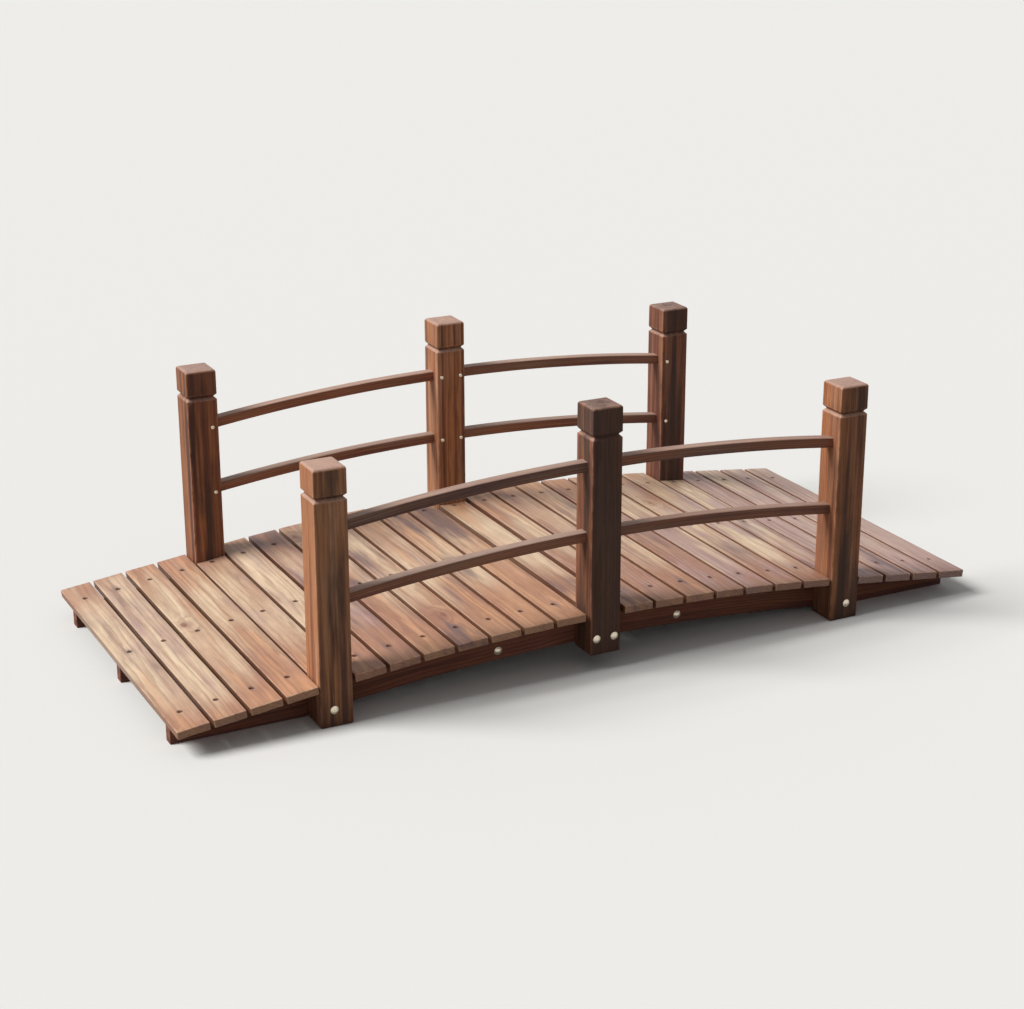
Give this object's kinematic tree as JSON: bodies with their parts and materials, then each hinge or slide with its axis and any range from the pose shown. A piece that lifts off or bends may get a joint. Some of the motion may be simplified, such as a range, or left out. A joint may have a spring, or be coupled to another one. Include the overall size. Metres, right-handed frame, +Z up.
{
  "type": "wooden footbridge",
  "caption": "Small arched garden footbridge of stained wood, with crosswise deck boards, square capped posts and curved side rails.",
  "frame": {"origin": "on the ground, under the middle of the span", "axes": "+X along the bridge towards its right end, +Y across it towards the far side, +Z up"},
  "size_m": [1.5236, 0.6722, 0.4686],
  "materials": {
    "deck_wood": "stained and weathered",
    "post_wood": "stained",
    "rail_wood": "stained",
    "beam_wood": "stained",
    "bolt_metal": "pale plated"
  },
  "bodies": {
    "root": {"centre_left_beam": "beam_wood", "centre_right_beam": "beam_wood", "deck_board_01": "deck_wood", "deck_board_02": "deck_wood", "deck_board_03": "deck_wood", "deck_board_04": "deck_wood", "deck_board_05": "deck_wood", "deck_board_06": "deck_wood", "deck_board_07": "deck_wood", "deck_board_08": "deck_wood", "deck_board_09": "deck_wood", "deck_board_10": "deck_wood", "deck_board_11": "deck_wood", "deck_board_12": "deck_wood", "deck_board_13": "deck_wood", "deck_board_14": "deck_wood", "deck_board_15": "deck_wood", "deck_board_16": "deck_wood", "deck_board_17": "deck_wood", "deck_board_18": "deck_wood", "deck_board_19": "deck_wood", "deck_board_20": "deck_wood", "deck_board_21": "deck_wood", "deck_board_22": "deck_wood", "deck_board_23": "deck_wood", "deck_board_24": "deck_wood", "deck_board_25": "deck_wood", "far_left_beam": "beam_wood", "far_left_lower_rail": "rail_wood", "far_left_post": "post_wood", "far_left_upper_rail": "rail_wood", "far_middle_post": "post_wood", "far_right_beam": "beam_wood", "far_right_lower_rail": "rail_wood", "far_right_post": "post_wood", "far_right_upper_rail": "rail_wood", "near_left_beam": "beam_wood", "near_left_lower_rail": "rail_wood", "near_left_post": "post_wood", "near_left_upper_rail": "rail_wood", "near_middle_post": "post_wood", "near_right_beam": "beam_wood", "near_right_lower_rail": "rail_wood", "near_right_post": "post_wood", "near_right_upper_rail": "rail_wood", "post_bolts": "bolt_metal", "splice_bolts": "bolt_metal", "splice_plates": "beam_wood"}
  },
  "joints": []
}
